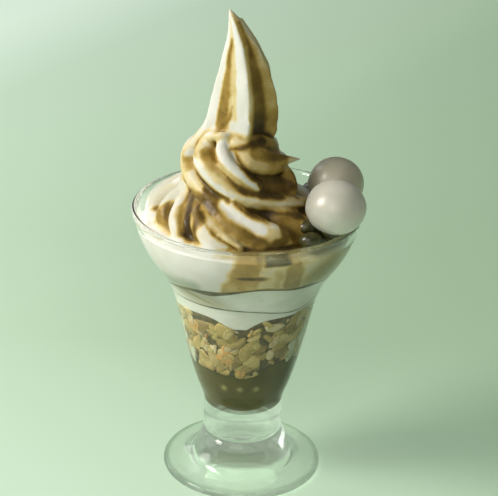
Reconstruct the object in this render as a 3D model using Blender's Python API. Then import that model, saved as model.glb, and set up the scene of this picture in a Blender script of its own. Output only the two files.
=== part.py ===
"""A parfait in its footed glass: jelly, cereal, two layers of cream and a tall swirl of soft
serve with a spire, two rice balls and a heap of sweet beans.

Lengths below are in millimetres and angles in degrees, counter-clockwise from +X as seen from
above. The glass stands on z = 0 with its axis on the origin, and -Y is the front.
"""

import functools
import math
import random

import bmesh
import bpy
from mathutils import Euler, Matrix, Vector

MM = 0.001
SEGMENTS = 36  # sides of everything that is turned about the glass's axis
GAP = 0.3  # between one piece and the next
FACE_RINGS = 3  # rings across the face between two layers, the same on both so that they stay apart

# The glass, as (height, radius) of its outer side.
RIM_RADIUS = 50.0
RIM_HEIGHT = 126.7
BEAD = 1.15  # radius of the rounded rim
FOOT_RADIUS = 35.7
FOOT_EDGE = 1.6
FOOT_OUTLINE = [(3.3, 34.4), (4.3, 24.5), (7, 21.6), (11, 20.5), (16, 18.6), (18.6, 16.9), (19.8, 17.6)]
BOWL_OUTLINE = [(34, 17.6), (38, 18.6), (46, 21.5), (57, 24.6), (71, 28), (85, 31.2), (92, 33.8),
                (97, 36.4), (102, 39.7), (108, 43.6), (116, 47.2), (RIM_HEIGHT - BEAD, RIM_RADIUS)]
WALL = 2.6
SHOULDER_HEIGHT = 101.0  # where the cone of the glass opens into its bowl, and slants most
SHOULDER_WALL = 0.9  # what the slant adds to the wall across
FLOOR_OUTLINE = [(28.5, 0), (29.2, 5.5), (31.2, 10.3), (34.2, 13.6), (38, 15.9)]
PUNT_RADIUS = 21.5
PUNT_HEIGHT = 8.2

# The layers at the wall: a mean height, and waves on it.
JELLY_TOP = 57.5
CEREAL_TOP = 86.6
CREAM_TOP = 92.4
SECOND_CREAM_TOP = 96.6
SECOND_CREAM_TILT = 8.9
SECOND_CREAM_LEAST = 2.0

# The swirl of soft serve.
WALL_CREAM_TOP = 118.5
WALL_CREAM_TILT = 3.0
WALL_CREAM_HIGH = 240  # the angle where it stands highest
SHOULDER_CREAM = [(1.0, 42), (3.5, 36)]  # rings above the cream's edge: rise and radius
CROWN_CORE = [(128, 28), (133, 22), (140, 19.5), (150, 17), (160, 10)]
ENVELOPE = [(112, 45), (120, 44.5), (124, 42.5), (128, 39), (132, 34), (136, 29.5), (140, 27.5),
            (145, 26.5), (150, 25), (154, 22.5), (158, 19), (162, 16)]
SWIRL_LEAN = [(118, 0), (124, -1), (128, -2), (132, -3), (136, -3.8), (141, -4), (146, -5.8), (152, -6.8),
              (160, -4.8)]
SWIRL_NARROW = [(126, 1.0), (136, 0.9), (146, 0.87)]  # the swirl is narrower across than it is deep
ROPE_SIDES = 8
STRAND_STEPS = 8
TUCK = 0.9  # how far a strand's ends dip into the swirl, in thicknesses
BLUNT = 0.35  # how much thinner they are at the end
POINT_TUCK = -3.1  # a pointed end stands out instead
POINTED = 0.8
# start angle and height, end angle and height, how far the middle sags, and the thickness
CREST = (256, 161.5, 350, 151, 0.4, 3.8)
FRONT_STRANDS = [
    (232, 160, 298, 143, -0.5, 3.6),
    (286, 152.5, 386, 136, 1.0, 4.4),
    (180, 160, 344, 133.5, 3.0, 5.0),
    (190, 154, 316, 125, 1.5, 5.2),
    (196, 144, 304, 119, 0.0, 5.0),
    (224, 135, 276, 118, 0.0, 5.2),
    (204, 138, 234, 117, 0.0, 4.6),
    (178, 132, 214, 116, 0.0, 5.8),
]
CROWN_COUNT = 5  # strands that go on round the back, one every CROWN_PITCH
CROWN_PITCH = 45
CROWN_FIRST = (-38, 156.5, 84, 135, 2.0, 4.8)
COLLAR_COUNT = 2  # short strands of the lower ring, behind the front ones
COLLAR_PITCH = -32
COLLAR_FIRST = (148, 133, 174, 122, 0.0, 5.6)
BACK_LOBE_PLACE = (-26.4, 12, 120)
BACK_LOBE_RADII = (18.4, 19, 13.6)

SPIRE_FLUTES = 6
SPIRE_FIRST_RIDGE = 85
SPIRE_FLUTE_DEPTH = 0.3
SPIRE_OUTLINE = [(157, 11), (159.5, 16), (162.5, 17.6), (166, 16.9), (171, 15.9), (180, 13.8), (190, 10.8),
                 (198, 7.9), (204, 5.4), (209, 3.1), (212.5, 1.3)]
SPIRE_TIP = 214.2
SPIRE_LEAN = [(158, -4.2), (163, -3.8), (170, -3.2), (180, -2.8), (190, -2.8), (200, -4), (208, -6.5),
              (214, -9.5)]
SECOND_TIP = [(172, 5.6, 6.0), (190, 3.6, 4.8), (201, 0.6, 3.3), (209.4, -3.8, 1.5)]

# The toppings: centre and the three half sizes.
FRONT_BALL = ((36.7, -25.9, 137.9), (12.8, 12.8, 11.3))
BACK_BALL = ((37.6, -0.4, 137.9), (12.1, 12.1, 11.7))
BEAN_RADII = (4.9, 3.7, 3.4)
BEAN_ROWS = [(-50, 38, 6, 41, 125.4), (-42, 34, 4, 33.8, 127)]
BED_STEPS = 6
BEAN_BED = (-52, 42, 37.5, 122.4, 3.4)  # the paste under them: angles, reach, height and thickness

CEREAL_PIECE = 4.2  # half the length of one
CEREAL_ROWS = 4
CEREAL_PER_ROW = 11
CEREAL_CORE = 2.2  # how far the heap's core stays behind the pieces

MATERIALS = {
    "clear_glass": ((0.92, 0.97, 0.95, 1), 0.03),
    "dark_jelly": ((0.07, 0.045, 0.018, 1), 0.25),
    "golden_cereal": ((0.62, 0.41, 0.17, 1), 0.6),
    "cream": ((0.86, 0.85, 0.78, 1), 0.45),
    "soft_serve_vanilla": ((0.84, 0.76, 0.58, 1), 0.4),
    "rice_flour": ((0.74, 0.74, 0.68, 1), 0.35),
    "sweet_bean": ((0.035, 0.04, 0.025, 1), 0.2),
}


def interpolate(pairs, place):
    """The second number of a list of pairs where the first is place, on straight lines."""
    if place <= pairs[0][0]:
        return pairs[0][1]
    for (low, at_low), (high, at_high) in zip(pairs, pairs[1:]):
        if place <= high:
            return at_low + (at_high - at_low) * (place - low) / (high - low)
    return pairs[-1][1]


def bump(angle, centre, width):
    """A smooth hill of height 1 round one angle."""
    away = (angle - centre + 180) % 360 - 180
    return math.exp(-((away / width) ** 2))


def wall_across(height):
    return WALL + SHOULDER_WALL * bump(height, SHOULDER_HEIGHT, 8)


def inner_radius(height):
    if height <= FLOOR_OUTLINE[-1][0]:
        return interpolate(FLOOR_OUTLINE, height)
    return interpolate(BOWL_OUTLINE, height) - wall_across(height)


def content_radius(height):
    return max(0.0, inner_radius(height - GAP) - GAP)


def polar(radius, angle, height, lean=0.0, narrow=1.0):
    turn = math.radians(angle)
    return Vector((radius * math.cos(turn) * narrow + lean, radius * math.sin(turn), height))


def swirl_place(radius, angle, height):
    """A point round the swirl's own axis, which leans, on its slightly flat outline."""
    return polar(radius, angle, height, interpolate(SWIRL_LEAN, height), interpolate(SWIRL_NARROW, height))


def angle_of(place):
    return math.degrees(math.atan2(place.y, place.x)) if place.xy.length > 1e-6 else 0.0


def new_object(name, mesh):
    thing = bpy.data.objects.new(name, mesh)
    bpy.context.scene.collection.objects.link(thing)
    return thing


def object_from(name, bm):
    """An object of a bmesh that is in millimetres, with its faces pointing outwards."""
    bmesh.ops.remove_doubles(bm, verts=bm.verts, dist=1e-4)
    bmesh.ops.recalc_face_normals(bm, faces=bm.faces)
    bm.transform(Matrix.Scale(MM, 4))
    mesh = bpy.data.meshes.new(name)
    bm.to_mesh(mesh)
    bm.free()
    return new_object(name, mesh)


def turned(profile, segments=SEGMENTS):
    """A bmesh turned about Z from (radius, height) points."""
    bm = bmesh.new()
    points = [bm.verts.new((radius, 0, height)) for radius, height in profile]
    edges = [bm.edges.new(pair) for pair in zip(points, points[1:])]
    bmesh.ops.spin(bm, geom=points + edges, cent=(0, 0, 0), axis=(0, 0, 1), angle=2 * math.pi,
                   steps=segments, use_merge=True)
    bmesh.ops.remove_doubles(bm, verts=bm.verts, dist=1e-4)
    return bm


def finish(thing, material, smooth_below=40):
    """Gives a piece its material, three-sided faces and smooth shading."""
    bm = bmesh.new()
    bm.from_mesh(thing.data)
    bmesh.ops.triangulate(bm, faces=bm.faces)
    bm.to_mesh(thing.data)
    bm.free()
    thing.data.materials.clear()
    thing.data.materials.append(material)
    thing.data.shade_smooth()
    thing.data.set_sharp_from_angle(angle=math.radians(smooth_below))
    return thing


def press_inside(thing):
    """Pushes what would stick through the glass back to its inner wall, as soft cream lies there."""
    flat = math.cos(math.pi / SEGMENTS)  # the wall's faces lie this much nearer than its corners
    for vert in thing.data.vertices:
        place = vert.co / MM
        if place.z < RIM_HEIGHT and place.xy.length > content_radius(place.z) * flat:
            place.xy *= content_radius(place.z) * flat / place.xy.length
            vert.co = place * MM


def combine(thing, others, operation="UNION", solver="EXACT"):
    """Joins others to thing, or cuts them from it, by one Boolean, and removes them."""
    group = bpy.data.collections.new("operands")
    bpy.context.scene.collection.children.link(group)
    for other in others:
        bpy.context.scene.collection.objects.unlink(other)
        group.objects.link(other)
    boolean = thing.modifiers.new("combine", "BOOLEAN")
    boolean.operation = operation
    boolean.operand_type = "COLLECTION"
    boolean.collection = group
    boolean.solver = solver
    seen = thing.evaluated_get(bpy.context.evaluated_depsgraph_get())
    mesh = bpy.data.meshes.new_from_object(seen)
    thing.modifiers.clear()
    thing.data = mesh
    for other in others:
        bpy.data.objects.remove(other)
    bpy.data.collections.remove(group)
    return thing


def keep_largest(thing):
    """Drops the loose scraps that a cut has left."""
    bm = bmesh.new()
    bm.from_mesh(thing.data)
    left = set(bm.verts)
    islands = []
    while left:
        island = {left.pop()}
        edge_of = list(island)
        while edge_of:
            vert = edge_of.pop()
            for edge in vert.link_edges:
                other = edge.other_vert(vert)
                if other in left:
                    left.discard(other)
                    island.add(other)
                    edge_of.append(other)
        islands.append(island)
    islands.sort(key=len)
    for island in islands[:-1]:
        bmesh.ops.delete(bm, geom=list(island), context="VERTS")
    bm.to_mesh(thing.data)
    bm.free()


def ellipsoid(name, place, radii, turn=(0, 0, 0), sides=12, rings=8, grow=0.0):
    bm = bmesh.new()
    bmesh.ops.create_uvsphere(bm, u_segments=sides, v_segments=rings, radius=1)
    size = Matrix.Diagonal([radius + grow for radius in radii]).to_4x4()
    spin = Euler([math.radians(degrees) for degrees in turn]).to_matrix().to_4x4()
    bm.transform(Matrix.Translation(place) @ spin @ size)
    return object_from(name, bm)


def make_ball(name, ball, grow=0.0):
    return ellipsoid(name, *ball, sides=18, rings=10, grow=grow)


def ball_cutters():
    return [make_ball("cutter", ball, GAP) for ball in (FRONT_BALL, BACK_BALL)]


def make_glass():
    """The footed glass: a punt under the foot, a short stem, a cone and a wide bowl."""
    profile = []
    for step in range(5):
        lean = math.radians(90 * step / 4)
        profile.append((PUNT_RADIUS * math.sin(lean), PUNT_HEIGHT * math.cos(lean)))
    profile.append((FOOT_RADIUS - FOOT_EDGE, 0))
    profile.append((FOOT_RADIUS - 0.3 * FOOT_EDGE, 0.3 * FOOT_EDGE))
    profile.append((FOOT_RADIUS, FOOT_EDGE))
    profile += [(radius, height) for height, radius in FOOT_OUTLINE + BOWL_OUTLINE]
    for step in range(1, 5):
        lean = math.radians(180 * step / 5)
        profile.append((RIM_RADIUS - BEAD * (1 - math.cos(lean)), RIM_HEIGHT - BEAD * (1 - math.sin(lean))))
    heights = [height for height, _ in BOWL_OUTLINE[2:]]
    profile += [(inner_radius(height), height) for height in reversed(heights)]
    profile += [(radius, height) for height, radius in reversed(FLOOR_OUTLINE)]
    return object_from("glass", turned(profile))


def jelly_top(angle):
    return JELLY_TOP - 2.6 * bump(angle, 268, 24) + 5.5 * bump(angle, 318, 26) + 1.5 * bump(angle, 130, 50)


def cereal_top(angle):
    return CEREAL_TOP - 5.2 * bump(angle, 264, 14) - 2.4 * bump(angle, 192, 24) - 3 * bump(angle, 60, 30)


def cream_top(angle):
    return CREAM_TOP - 3.6 * bump(angle, 312, 26)


def second_cream_top(angle):
    tilted = SECOND_CREAM_TOP + SECOND_CREAM_TILT * math.cos(math.radians(angle - 288))
    return max(tilted, cream_top(angle) + SECOND_CREAM_LEAST)


def wall_cream_top(angle):
    return WALL_CREAM_TOP + WALL_CREAM_TILT * math.cos(math.radians(angle - WALL_CREAM_HIGH))


@functools.cache
def mean_height(edge):
    return sum(edge(turn) for turn in range(0, 360, 10)) / 36


def dished(edge, share, angle):
    """The height of a layer's face inside the glass: wavy at the wall and level at the axis."""
    return mean_height(edge) + (edge(angle) - mean_height(edge)) * share**2


def layer(name, bottom, top, sides, gap=GAP / 2, inset=0.0):
    """A layer that fills the glass between two wavy faces, or stays inset from the wall."""
    profile = [(ring / FACE_RINGS, 0) for ring in range(FACE_RINGS)]
    profile += [(1, row / (sides - 1)) for row in range(sides)]
    profile += [(ring / FACE_RINGS, 1) for ring in reversed(range(FACE_RINGS))]
    bm = turned(profile)
    for vert in bm.verts:
        up, angle = vert.co.z, angle_of(vert.co)
        full = content_radius(bottom(angle) + (top(angle) - bottom(angle)) * up)
        share = vert.co.xy.length * (1 - inset / full)
        low = dished(bottom, share, angle) + gap
        high = dished(top, share, angle) - gap
        vert.co = polar(share * full, angle, low + (high - low) * up)
    return object_from(name, bm)


def make_jelly():
    """The jelly, from the round bottom of the glass up to its wavy top."""
    rows = [height + GAP for height, _ in FLOOR_OUTLINE[1:]] + [44, 50]
    surface = 100  # stands for the top in the profile
    profile = [(0, FLOOR_OUTLINE[0][0] + GAP)] + [(content_radius(height), height) for height in rows]
    profile += [(ring / FACE_RINGS, surface) for ring in reversed(range(FACE_RINGS + 1))]
    bm = turned(profile)
    for vert in bm.verts:
        if vert.co.z == surface:
            share, angle = vert.co.xy.length, angle_of(vert.co)
            height = dished(jelly_top, share, angle) - GAP / 2
            vert.co = polar(share * content_radius(jelly_top(angle)), angle, height)
    return object_from("jelly", bm)


def cereal_piece(place, draw):
    """One broken flake or puff: a low ball, squeezed and jittered."""
    bm = bmesh.new()
    bmesh.ops.create_icosphere(bm, subdivisions=1, radius=1)
    for vert in bm.verts:
        vert.co *= draw.uniform(0.8, 1.15)
    size = Matrix.Diagonal((CEREAL_PIECE, CEREAL_PIECE * 0.75, CEREAL_PIECE * draw.uniform(0.5, 0.75)))
    turn = Euler([draw.uniform(0, math.tau) for _ in range(3)]).to_matrix()
    bm.transform((turn @ size).to_4x4())
    bm.transform(Matrix.Translation(place))
    for vert in bm.verts:
        angle = angle_of(vert.co)
        share = min(1.0, vert.co.xy.length / content_radius(vert.co.z))
        low = dished(jelly_top, share, angle) + 2 * GAP
        high = dished(cereal_top, share, angle) - 2 * GAP
        height = min(high, max(low, vert.co.z))
        reach = min(vert.co.xy.length, content_radius(height))
        vert.co = polar(reach, angle, height)
    return object_from("cereal_piece", bm)


def make_cereal():
    draw = random.Random(11)
    core = layer("cereal", jelly_top, cereal_top, 4, gap=GAP, inset=CEREAL_CORE)
    pieces = []
    for row in range(CEREAL_ROWS):
        share = (row + 0.5) / CEREAL_ROWS
        for column in range(CEREAL_PER_ROW):
            angle = 360 * (column + 0.5 * (row % 2) + draw.uniform(-0.2, 0.2)) / CEREAL_PER_ROW
            low, high = jelly_top(angle) + 1.5, cereal_top(angle) - 2
            height = low + (high - low) * share + draw.uniform(-0.7, 0.7)
            reach = content_radius(height) - draw.uniform(1.6, 2.6)
            pieces.append(cereal_piece(polar(reach, angle, height), draw))
    return combine(core, pieces)


def rope(name, points):
    """A round rope through (place, thickness) points, with closed ends."""
    curve = bpy.data.curves.new(name, "CURVE")
    curve.dimensions = "3D"
    curve.bevel_depth = MM
    curve.bevel_resolution = ROPE_SIDES // 4
    curve.use_fill_caps = True
    spline = curve.splines.new("POLY")
    spline.points.add(len(points) - 1)
    for point, (place, thickness) in zip(spline.points, points):
        point.co = (*(place * MM), 1)
        point.radius = thickness
    line = new_object(name, curve)
    bm = bmesh.new()
    bm.from_mesh(bpy.data.meshes.new_from_object(line))
    bpy.data.objects.remove(line)
    bm.transform(Matrix.Scale(1 / MM, 4))
    return object_from(name, bm)


def strand(start_angle, start_height, end_angle, end_height, sag, thickness, pointed=False):
    """One ridge of the swirl: a rope along the envelope, thinner at its ends, or drawn to a point."""
    points = []
    for step in range(STRAND_STEPS):
        along = step / (STRAND_STEPS - 1)
        angle = start_angle + (end_angle - start_angle) * along
        height = start_height + (end_height - start_height) * along - 4 * sag * along * (1 - along)
        near_end = abs(2 * along - 1)
        if pointed and along > 0.5:
            tuck, thin = POINT_TUCK * near_end**2, POINTED * near_end**2
        else:
            tuck, thin = TUCK * near_end**4, BLUNT * near_end**4
        reach = interpolate(ENVELOPE, height) - thickness * (1 + tuck)
        points.append((swirl_place(reach, angle, height), thickness * (1 - thin)))
    return rope("strand", points)


def repeated(first, pitch, count):
    """A row of strands like the first, each one turned on by pitch."""
    start, start_height, end, *rest = first
    return [(start + pitch * number, start_height, end + pitch * number, *rest) for number in range(count)]


def strand_list():
    crown = repeated(CROWN_FIRST, CROWN_PITCH, CROWN_COUNT)
    return FRONT_STRANDS + crown + repeated(COLLAR_FIRST, COLLAR_PITCH, COLLAR_COUNT)


def make_spire():
    """The fluted cone on top, leaning into its tip."""
    columns = SPIRE_FLUTES * 5
    profile = [(0, SPIRE_OUTLINE[0][0])] + [(radius, height) for height, radius in SPIRE_OUTLINE]
    bm = turned(profile + [(0, SPIRE_TIP)], columns)
    for vert in bm.verts:
        radius, angle = vert.co.xy.length, angle_of(vert.co)
        ridge = math.cos(math.radians((angle - SPIRE_FIRST_RIDGE) * SPIRE_FLUTES))
        radius *= 1 - SPIRE_FLUTE_DEPTH * (0.5 - 0.5 * ridge)
        vert.co = polar(radius, angle, vert.co.z, interpolate(SPIRE_LEAN, vert.co.z))
    return object_from("spire", bm)


def make_second_tip():
    """The fold that ends short of the tip, on its right."""
    return rope("second_tip", [(Vector((across, 1.5, height)), wide) for height, across, wide in SECOND_TIP])


def make_soft_serve():
    """The bowl's filling, the core of the swirl, its strands and the spire, in one piece."""
    under, side, over, core = -1, 0, 2, 3  # which stretch of the profile a height stands for
    profile = [(ring / FACE_RINGS, under) for ring in range(FACE_RINGS)]
    profile += [(1, side + row / 4) for row in range(5)]
    profile += [(radius, over + number / 10) for number, (_, radius) in enumerate(SHOULDER_CREAM)]
    profile += [(radius, height) for height, radius in CROWN_CORE] + [(0, CROWN_CORE[-1][0])]
    bm = turned(profile)
    for vert in bm.verts:
        share, angle = vert.co.xy.length, angle_of(vert.co)
        low, high = second_cream_top(angle) + GAP / 2, wall_cream_top(angle)
        if vert.co.z > core:
            vert.co = swirl_place(share, angle, vert.co.z)
        elif vert.co.z >= over:
            rise = SHOULDER_CREAM[round((vert.co.z - over) * 10)][0]
            vert.co = polar(share, angle, high + rise)
        elif vert.co.z >= side:
            height = low + (high - low) * min(1.0, vert.co.z)
            vert.co = polar(content_radius(height), angle, height)
        else:
            height = dished(second_cream_top, share, angle) + GAP / 2
            vert.co = polar(share * content_radius(low), angle, height)
    body = object_from("soft_serve", bm)
    additions = [strand(*row) for row in strand_list()] + [strand(*CREST, pointed=True)]
    additions += [make_spire(), make_second_tip()]
    additions.append(ellipsoid("back_lobe", BACK_LOBE_PLACE, BACK_LOBE_RADII, sides=16, rings=10))
    for piece in additions:
        press_inside(piece)
    combine(body, additions, solver="MANIFOLD")
    cutters = [make_bean(place, turn, GAP) for place, turn in bean_places()] + [bean_bed("cutter", GAP)]
    combine(body, ball_cutters() + cutters, "DIFFERENCE", "MANIFOLD")
    keep_largest(body)
    return body


def bean_places():
    """Centres and turns of the beans, in arcs between the swirl and the rim on the right."""
    draw = random.Random(4)
    found = []
    for first, last, count, reach, height in BEAN_ROWS:
        for number in range(count):
            angle = first + (last - first) * number / (count - 1)
            place = polar(reach, angle, height + draw.uniform(-0.5, 0.5))
            turn = (draw.uniform(-25, 25), draw.uniform(-25, 25), angle + 90 + draw.uniform(-30, 30))
            found.append((place, turn))
    return found


def make_bean(place, turn, grow=0.0):
    return ellipsoid("bean", place, BEAN_RADII, turn, sides=8, rings=5, grow=grow)


def bean_bed(name, grow=0.0):
    """The bed of paste that carries the beans: a rope bent round inside the rim."""
    first, last, reach, height, thickness = BEAN_BED
    more = math.degrees(grow / reach)
    turns = [first - more + (last - first + 2 * more) * step / BED_STEPS for step in range(BED_STEPS + 1)]
    return rope(name, [(polar(reach, turn, height), thickness + grow) for turn in turns])


def make_beans():
    """The beans and the paste they lie in, hollowed where the rice balls rest on them."""
    heap = combine(bean_bed("sweet_beans"), [make_bean(place, turn) for place, turn in bean_places()])
    combine(heap, ball_cutters(), "DIFFERENCE")
    keep_largest(heap)
    return heap


def new_material(name):
    colour, roughness = MATERIALS[name]
    material = bpy.data.materials.new(name)
    material.use_nodes = True
    shader = material.node_tree.nodes["Principled BSDF"]
    shader.inputs["Base Color"].default_value = colour
    shader.inputs["Roughness"].default_value = roughness
    if name == "clear_glass":
        shader.inputs["Transmission Weight"].default_value = 1.0
        shader.inputs["IOR"].default_value = 1.5
    return material


def main():
    for thing in list(bpy.data.objects):
        bpy.data.objects.remove(thing)
    finish(make_glass(), new_material("clear_glass"))
    finish(make_jelly(), new_material("dark_jelly"))
    finish(make_cereal(), new_material("golden_cereal"))
    cream = new_material("cream")
    finish(layer("cream", cereal_top, cream_top, 3), cream)
    finish(layer("second_cream", cream_top, second_cream_top, 3), cream)
    finish(make_soft_serve(), new_material("soft_serve_vanilla"))
    rice_flour = new_material("rice_flour")
    finish(make_ball("rice_ball_front", FRONT_BALL), rice_flour)
    finish(make_ball("rice_ball_back", BACK_BALL), rice_flour)
    finish(make_beans(), new_material("sweet_bean"))


main()
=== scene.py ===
import math
import random
from collections import namedtuple

import bmesh
import bpy
import numpy as np
from mathutils import Euler, Matrix, Vector, noise


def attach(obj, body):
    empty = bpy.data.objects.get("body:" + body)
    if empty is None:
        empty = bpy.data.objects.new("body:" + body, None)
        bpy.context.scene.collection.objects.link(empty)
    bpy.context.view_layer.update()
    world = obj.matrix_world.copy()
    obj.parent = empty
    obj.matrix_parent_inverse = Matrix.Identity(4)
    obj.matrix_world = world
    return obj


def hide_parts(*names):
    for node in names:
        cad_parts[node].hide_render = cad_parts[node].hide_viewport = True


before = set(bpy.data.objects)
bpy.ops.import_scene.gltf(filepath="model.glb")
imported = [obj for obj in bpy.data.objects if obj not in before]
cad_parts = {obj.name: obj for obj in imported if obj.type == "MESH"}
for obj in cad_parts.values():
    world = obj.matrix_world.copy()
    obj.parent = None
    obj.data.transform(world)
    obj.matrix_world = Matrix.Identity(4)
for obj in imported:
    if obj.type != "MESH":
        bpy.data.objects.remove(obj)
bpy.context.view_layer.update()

mm = 0.001  # shapes are made in millimetres and degrees round the glass's axis, and scaled at the end


# shader tools

class Wire:  # one output socket, with arithmetic
    def __init__(self, paint, socket):
        self.paint, self.socket = paint, socket

    def math(self, operation, *others):
        return self.paint.node("Math", {"operation": operation}, [self, *others])

    def __add__(self, other):
        return self.math("ADD", other)

    def __sub__(self, other):
        return self.math("SUBTRACT", other)

    def __rsub__(self, other):
        return self.paint.node("Math", {"operation": "SUBTRACT"}, [other, self])

    def __mul__(self, other):
        return self.math("MULTIPLY", other)

    def __truediv__(self, other):
        return self.math("DIVIDE", other)

    def __pow__(self, other):
        return self.math("POWER", other)

    def clamped(self):
        return self.paint.node("Clamp", {}, [self, 0.0, 1.0])

    __radd__ = __add__
    __rmul__ = __mul__


class Paint:  # one material: what is the same all over sits on the shader, what varies comes from nodes
    def __init__(self, name, roughness=0.5, fixed=None, soft=()):  # soft: share and depth of light inside
        self.material = bpy.data.materials.new(name)
        self.material.use_nodes = True
        self.tree = self.material.node_tree
        self.shader = self.tree.nodes["Principled BSDF"]
        inside = zip(("Subsurface Weight", "Subsurface Scale", "Subsurface Radius"), soft)
        for socket, value in {"Roughness": roughness, **(fixed or {}), **dict(inside)}.items():
            self.shader.inputs[socket].default_value = value
        self.place = self.node("TexCoord", {}, {}, "Object")

    def node(self, kind, settings, inputs, output=0):
        made = self.tree.nodes.new("ShaderNode" + kind)
        for name, value in settings.items():
            if name == "stops":
                while len(made.color_ramp.elements) < len(value):
                    made.color_ramp.elements.new(1.0)
                for element, (place, colour) in zip(made.color_ramp.elements, value):
                    element.position, element.color = place, (*colour, 1)
            else:
                setattr(made, name, value)
        for key, value in inputs.items() if isinstance(inputs, dict) else enumerate(inputs):
            if isinstance(value, Wire):
                self.tree.links.new(value.socket, made.inputs[key])
            else:
                made.inputs[key].default_value = value
        return Wire(self, made.outputs[output])

    def grain(self, scale, detail=3.0, roughness=0.55, stretch=None):  # noise on the object's coordinates
        place = self.place
        if stretch:
            place = self.node("Mapping", {}, {"Vector": place, "Scale": stretch})
        return self.node("TexNoise", {}, {"Vector": place, "Scale": scale, "Detail": detail,
                                          "Roughness": roughness})

    def attribute(self, name):
        return self.node("Attribute", {"attribute_name": name}, {}, "Fac")

    def axis(self, letter):  # how far a point lies along X, Y or Z
        return self.node("SeparateXYZ", {}, [self.place], letter)

    def fade(self, value, low, high, first, last):  # first below low, last above high
        return self.node("MapRange", {}, [value, low, high, first, last])

    def ramp(self, value, *stops):
        return self.node("ValToRGB", {"stops": stops}, [value])

    def blend(self, share, first, second):
        return self.node("Mix", {"data_type": "RGBA"}, {0: share, 6: first, 7: second}, 2)

    def feed(self, socket, wire):
        self.tree.links.new(wire.socket, self.shader.inputs[socket])

    def colour(self, wire):
        self.feed("Base Color", wire)

    def relief(self, height, distance, strength):
        bump = self.node("Bump", {}, {"Strength": strength, "Distance": distance, "Height": height})
        self.feed("Normal", bump)


# mesh tools

def between(pairs, place):  # straight lines through (place, value) pairs
    return float(np.interp(place, [pair[0] for pair in pairs], [pair[1] for pair in pairs]))


def smoothPath(points, steps):  # a smooth line through points of any size
    found = []
    for number in range(len(points) - 1):
        four = [points[min(max(number + shift, 0), len(points) - 1)] for shift in (-1, 0, 1, 2)]
        for step in range(steps):
            t = step / steps
            found.append(tuple(0.5 * (2 * b + (c - a) * t + (2 * a - 5 * b + 4 * c - d) * t**2
                                      + (3 * b - a - 3 * c + d) * t**3) for a, b, c, d in zip(*four)))
    return found + [tuple(points[-1])]


def hill(angle, centre, width):  # 1 at one angle, fading to 0 round it
    away = (angle - centre + 180) % 360 - 180
    return math.exp(-((away / width) ** 2))


def hilly(level, hills, angle):  # a level with (height, angle, width) hills round it
    return sum((more * hill(angle, *where) for more, *where in hills), level)


def polar(radius, angle, height, lean=0.0, narrow=1.0):
    turn = math.radians(angle)
    return Vector((radius * math.cos(turn) * narrow + lean, radius * math.sin(turn), height))


def angleOf(place):
    return math.degrees(math.atan2(place.y, place.x)) % 360


def turned(profile, segments, closed=False):  # a bmesh turned about Z from (radius, height) points
    bm = bmesh.new()
    points = [bm.verts.new((radius, 0, height)) for radius, height in profile]
    pairs = list(zip(points, points[1:])) + ([(points[-1], points[0])] if closed else [])
    edges = [bm.edges.new(pair) for pair in pairs]
    bmesh.ops.spin(bm, geom=points + edges, cent=(0, 0, 0), axis=(0, 0, 1), angle=math.tau,
                   steps=segments, use_merge=True)
    bmesh.ops.remove_doubles(bm, verts=bm.verts, dist=1e-4)
    return bm


def unitBall(bm, around, up):
    return bmesh.ops.create_uvsphere(bm, u_segments=around, v_segments=up, radius=1)["verts"]


def meshFrom(bm, name):
    mesh = bpy.data.meshes.new(name)
    bm.to_mesh(mesh)
    bm.free()
    return mesh


def joinTo(whole, part):  # adds one bmesh to another, and frees it
    mesh = meshFrom(part, "part")
    whole.from_mesh(mesh)
    bpy.data.meshes.remove(mesh)


def shown(name, data):  # a new object in the scene
    thing = bpy.data.objects.new(name, data)
    bpy.context.scene.collection.objects.link(thing)
    return thing


def pieceFrom(bm, name, paint, replaces=None):  # the finished piece, in metres, on the one body
    bmesh.ops.recalc_face_normals(bm, faces=bm.faces)
    bm.transform(Matrix.Scale(mm, 4))
    return showMesh(meshFrom(bm, name), name, paint, replaces)


def showMesh(mesh, name, paint, replaces=None):
    mesh.shade_smooth()
    mesh.materials.clear()
    mesh.materials.append(paint.material)
    piece = shown(name, mesh)
    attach(piece, "root")
    if replaces:
        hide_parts(replaces)
    return piece


def vectorsOf(mesh, kind):
    flat = np.zeros(len(mesh.vertices) * 3, np.float32)
    mesh.vertices.foreach_get(kind, flat)
    return flat.reshape(-1, 3)


def placesOf(mesh):
    return vectorsOf(mesh, "co").astype(float) / mm


def anglesOf(places, lean=0):
    return np.degrees(np.arctan2(places[:, 1], places[:, 0] - lean)) % 360


def setPlaces(mesh, places):
    mesh.vertices.foreach_set("co", (places * mm).astype(np.float32).ravel())
    mesh.update()


def write(mesh, name, values):  # a number for each point, which the material reads
    attribute = mesh.attributes.new(name, "FLOAT", "POINT")
    attribute.data.foreach_set("value", np.clip(values, 0, 1).astype(np.float32))


def relaxed(mesh, places, rounds):  # each point moves to the middle of its neighbours, over and over
    ends = np.zeros(len(mesh.edges) * 2, np.int32)
    mesh.edges.foreach_get("vertices", ends)
    first, second = ends.reshape(-1, 2).T
    size = len(places)
    count = (np.bincount(first, minlength=size) + np.bincount(second, minlength=size))[:, None]
    for _ in range(rounds):
        total = np.stack([np.bincount(first, places[second, axis], size)
                          + np.bincount(second, places[first, axis], size) for axis in range(3)], 1)
        places = 0.5 * places + 0.5 * total / count
    return places


def paintByPlace(piece, name, rule):  # rule(angle, height) gives the number for each point
    places = placesOf(piece.data)
    write(piece.data, name, np.array([rule(*where) for where in zip(anglesOf(places), places[:, 2])]))


def band(value, low, high, soft):  # 1 between low and high, with soft edges
    def rise(edge):
        return min(1.0, max(0.0, (value - edge) / soft + 0.5))
    return rise(low) * (1 - rise(high))


# camera, light and stage

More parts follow.
